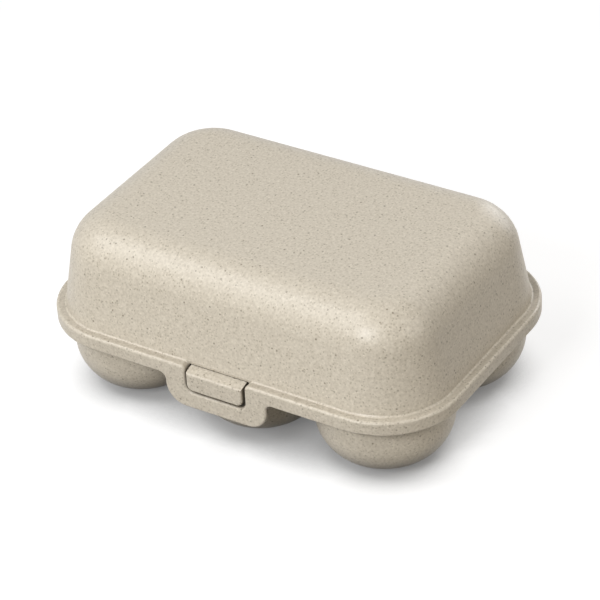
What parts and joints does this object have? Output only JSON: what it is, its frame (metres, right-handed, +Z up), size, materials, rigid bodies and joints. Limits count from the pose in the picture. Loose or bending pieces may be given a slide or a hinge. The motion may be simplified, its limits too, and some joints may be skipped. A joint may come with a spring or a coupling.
{
  "type": "egg box",
  "caption": "Hinged plastic storage box for eggs: a domed lid over a tray of round egg cups, with a press tab that catches a loop on the lid's front rim.",
  "frame": {"origin": "on the table, below the middle of the box", "axes": "+X along the box's length, +Y towards the hinge, -Y towards the latch, +Z up"},
  "size_m": [0.16, 0.1108, 0.0675],
  "materials": {
    "speckled_plastic": "satin moulded, fibre filled, warm beige with fine dark specks",
    "pin_plastic": "plain satin, warm beige"
  },
  "bodies": {
    "base": {"base_deck": "speckled_plastic", "egg_cup_front_left": "speckled_plastic", "egg_cup_front_middle": "speckled_plastic", "egg_cup_front_right": "speckled_plastic", "egg_cup_back_left": "speckled_plastic", "egg_cup_back_middle": "speckled_plastic", "egg_cup_back_right": "speckled_plastic", "hinge_pin_left": "pin_plastic", "hinge_pin_right": "pin_plastic"},
    "lid": {"lid_shell": "speckled_plastic"},
    "catch": {"latch_tab": "speckled_plastic"}
  },
  "joints": [
    {"name": "lid_hinge", "type": "hinge", "parent": "base", "child": "lid", "pos_m": [0, 0.0522, 0.023], "axis": [-1, 0, 0], "range_deg": [0, 120], "deforming": ["latch_tab"]},
    {"name": "tab_press", "type": "slide", "parent": "base", "child": "catch", "axis": [0, 1, 0], "range_m": [0, 0.0025], "stiffness_N_per_m": 2000}
  ]
}
